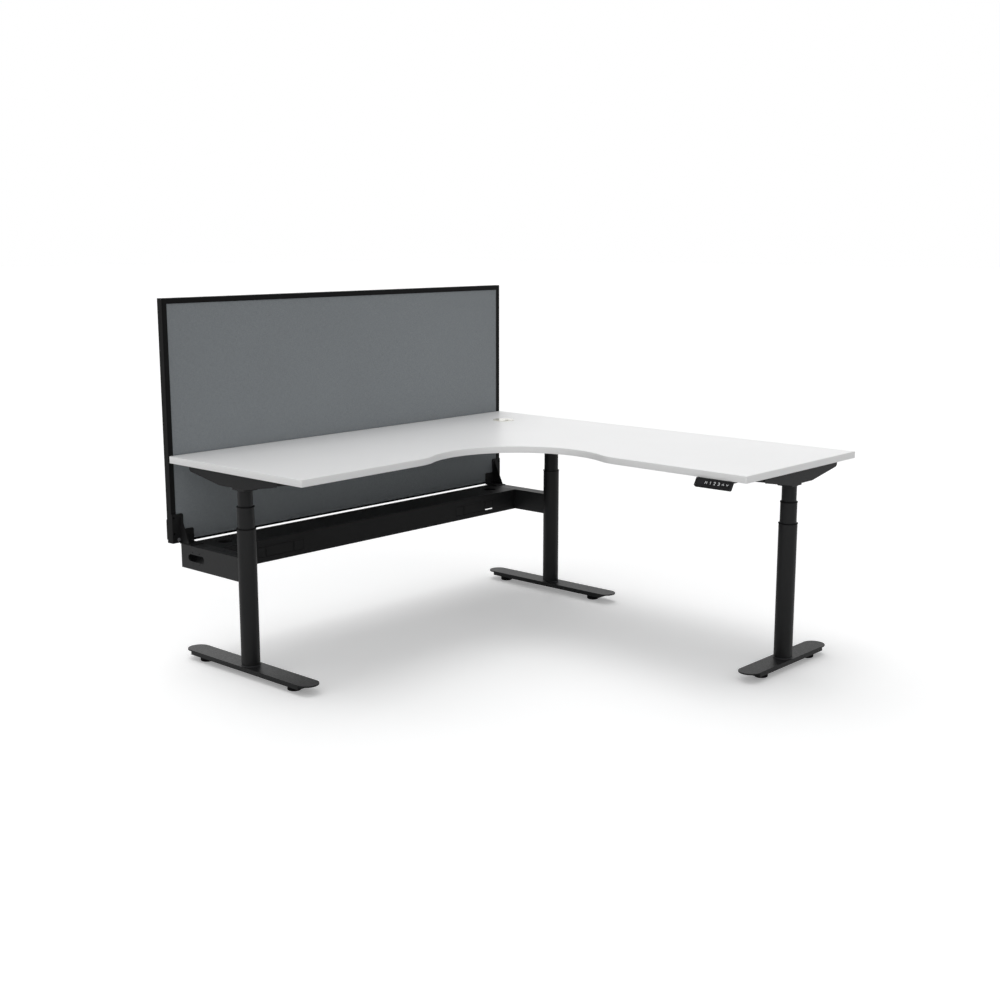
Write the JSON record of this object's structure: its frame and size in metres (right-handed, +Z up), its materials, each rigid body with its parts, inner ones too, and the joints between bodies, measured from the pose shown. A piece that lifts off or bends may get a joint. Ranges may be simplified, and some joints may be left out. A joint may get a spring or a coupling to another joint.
{
  "type": "corner sit-stand workstation with desk screen",
  "caption": "L-shaped sit-stand desk on telescopic columns, with a cable duct and a fabric screen behind the main wing.",
  "frame": {"origin": "on the floor, under the middle of the object's bounding box", "axes": "+Z up; the screen stands along X at the +Y side; the return wing runs towards -Y at the +X end; a user of the main wing faces +Y"},
  "size_m": [1.8, 1.8374, 1.341],
  "materials": {
    "frame_paint": "fine matt powder coat",
    "tube_paint": "fine matt powder coat",
    "duct_paint": "fine matt powder coat",
    "board_white": "satin white melamine on chipboard",
    "edge_white": "satin",
    "grommet_white": "satin",
    "black_plastic": "matt",
    "handset_plastic": "satin",
    "key_plastic": "satin",
    "window_plastic": "gloss",
    "bush_plastic": "matt",
    "bright_steel": "zinc plated",
    "gear_case": "cast",
    "motor_case": "satin",
    "screen_core": "bare fibreboard",
    "screen_fabric": "woven",
    "screen_rail": "matt black coat",
    "bracket_paint": "fine matt powder coat",
    "glide_rubber": "matt"
  },
  "bodies": {
    "base_frame": {"left_foot": "frame_paint", "corner_foot": "frame_paint", "return_foot": "frame_paint", "left_outer_tube": "tube_paint", "corner_outer_tube": "tube_paint", "return_outer_tube": "tube_paint", "outer_bushes": "bush_plastic", "cable_duct": "duct_paint", "outlet_blanks": "duct_paint", "left_duct_arm": "duct_paint", "corner_duct_arm": "duct_paint", "screen_board": "screen_core", "screen_front_fabric": "screen_fabric", "screen_rear_fabric": "screen_fabric", "screen_top_rail": "screen_rail", "screen_bottom_rail": "screen_rail", "screen_left_rail": "screen_rail", "screen_right_rail": "screen_rail", "left_bracket": "bracket_paint", "right_bracket": "bracket_paint", "clamp_plates": "bracket_paint", "frame_bolts": "bright_steel"},
    "lift_frame": {"desktop": "board_white", "edge_band": "edge_white", "desktop_screws": "bright_steel", "grommet_liner": "grommet_white", "left_support": "frame_paint", "corner_support": "frame_paint", "return_support": "frame_paint", "frame_rails": "frame_paint", "left_inner_tube": "tube_paint", "corner_inner_tube": "tube_paint", "return_inner_tube": "tube_paint", "gear_housings": "gear_case", "lift_motors": "motor_case", "control_box": "black_plastic", "handset": "handset_plastic", "handset_window": "window_plastic"},
    "left_rear_glide": {"left_rear_glide": "glide_rubber"},
    "left_front_glide": {"left_front_glide": "glide_rubber"},
    "corner_rear_glide": {"corner_rear_glide": "glide_rubber"},
    "corner_front_glide": {"corner_front_glide": "glide_rubber"},
    "return_rear_glide": {"return_rear_glide": "glide_rubber"},
    "return_front_glide": {"return_front_glide": "glide_rubber"},
    "left_stage": {"left_middle_tube": "tube_paint", "left_middle_bush": "bush_plastic"},
    "left_lift_screw": {"left_lift_screw": "bright_steel"},
    "corner_stage": {"corner_middle_tube": "tube_paint", "corner_middle_bush": "bush_plastic"},
    "corner_lift_screw": {"corner_lift_screw": "bright_steel"},
    "return_stage": {"return_middle_tube": "tube_paint", "return_middle_bush": "bush_plastic"},
    "return_lift_screw": {"return_lift_screw": "bright_steel"},
    "memory_key": {"memory_key": "key_plastic"},
    "key_one": {"key_one": "key_plastic"},
    "key_two": {"key_two": "key_plastic"},
    "key_three": {"key_three": "key_plastic"},
    "up_key": {"up_key": "key_plastic"},
    "down_key": {"down_key": "key_plastic"},
    "grommet_cap": {"grommet_cap": "grommet_white"}
  },
  "joints": [
    {"name": "desk_lift", "type": "slide", "parent": "base_frame", "child": "lift_frame", "axis": [0, 0, 1], "range_m": [-0.094, 0.525]},
    {"name": "left_stage_slide", "type": "slide", "parent": "base_frame", "child": "left_stage", "axis": [0, 0, 1], "range_m": [-0.047, 0.2625]},
    {"name": "corner_stage_slide", "type": "slide", "parent": "base_frame", "child": "corner_stage", "axis": [0, 0, 1], "range_m": [-0.047, 0.2625]},
    {"name": "return_stage_slide", "type": "slide", "parent": "base_frame", "child": "return_stage", "axis": [0, 0, 1], "range_m": [-0.047, 0.2625]},
    {"name": "left_screw_turn", "type": "hinge", "parent": "lift_frame", "child": "left_lift_screw", "pos_m": [-0.838, 0.5173, 0.7], "axis": [0, 0, 1], "continuous": true},
    {"name": "corner_screw_turn", "type": "hinge", "parent": "lift_frame", "child": "corner_lift_screw", "pos_m": [0.838, 0.5173, 0.7], "axis": [0, 0, 1], "continuous": true},
    {"name": "return_screw_turn", "type": "hinge", "parent": "lift_frame", "child": "return_lift_screw", "pos_m": [0.536, -0.8567, 0.7], "axis": [0, 0, 1], "continuous": true},
    {"name": "left_rear_glide_screw", "type": "slide", "parent": "base_frame", "child": "left_rear_glide", "axis": [0, 0, -1], "range_m": [0, 0.008]},
    {"name": "left_front_glide_screw", "type": "slide", "parent": "base_frame", "child": "left_front_glide", "axis": [0, 0, -1], "range_m": [0, 0.008]},
    {"name": "corner_rear_glide_screw", "type": "slide", "parent": "base_frame", "child": "corner_rear_glide", "axis": [0, 0, -1], "range_m": [0, 0.008]},
    {"name": "corner_front_glide_screw", "type": "slide", "parent": "base_frame", "child": "corner_front_glide", "axis": [0, 0, -1], "range_m": [0, 0.008]},
    {"name": "return_rear_glide_screw", "type": "slide", "parent": "base_frame", "child": "return_rear_glide", "axis": [0, 0, -1], "range_m": [0, 0.008]},
    {"name": "return_front_glide_screw", "type": "slide", "parent": "base_frame", "child": "return_front_glide", "axis": [0, 0, -1], "range_m": [0, 0.008]},
    {"name": "memory_key_press", "type": "slide", "parent": "lift_frame", "child": "memory_key", "axis": [0.848, 0, -0.5299], "range_m": [0, 0.001], "stiffness_N_per_m": 300, "springref_m": -0.002},
    {"name": "key_one_press", "type": "slide", "parent": "lift_frame", "child": "key_one", "axis": [0.848, 0, -0.5299], "range_m": [0, 0.001], "stiffness_N_per_m": 300, "springref_m": -0.002},
    {"name": "key_two_press", "type": "slide", "parent": "lift_frame", "child": "key_two", "axis": [0.848, 0, -0.5299], "range_m": [0, 0.001], "stiffness_N_per_m": 300, "springref_m": -0.002},
    {"name": "key_three_press", "type": "slide", "parent": "lift_frame", "child": "key_three", "axis": [0.848, 0, -0.5299], "range_m": [0, 0.001], "stiffness_N_per_m": 300, "springref_m": -0.002},
    {"name": "up_key_press", "type": "slide", "parent": "lift_frame", "child": "up_key", "axis": [0.848, 0, -0.5299], "range_m": [0, 0.001], "stiffness_N_per_m": 300, "springref_m": -0.002},
    {"name": "down_key_press", "type": "slide", "parent": "lift_frame", "child": "down_key", "axis": [0.848, 0, -0.5299], "range_m": [0, 0.001], "stiffness_N_per_m": 300, "springref_m": -0.002},
    {"name": "grommet_cap_turn", "type": "hinge", "parent": "lift_frame", "child": "grommet_cap", "pos_m": [0.673, 0.6543, 0.769], "axis": [0, 0, 1], "continuous": true}
  ],
  "couplings": [
    {"joint": "left_stage_slide", "follows": "desk_lift", "ratio": 0.5},
    {"joint": "corner_stage_slide", "follows": "desk_lift", "ratio": 0.5},
    {"joint": "return_stage_slide", "follows": "desk_lift", "ratio": 0.5},
    {"joint": "left_screw_turn", "follows": "desk_lift", "rad_per_m": 392.7},
    {"joint": "corner_screw_turn", "follows": "desk_lift", "rad_per_m": 392.7},
    {"joint": "return_screw_turn", "follows": "desk_lift", "rad_per_m": 392.7}
  ]
}
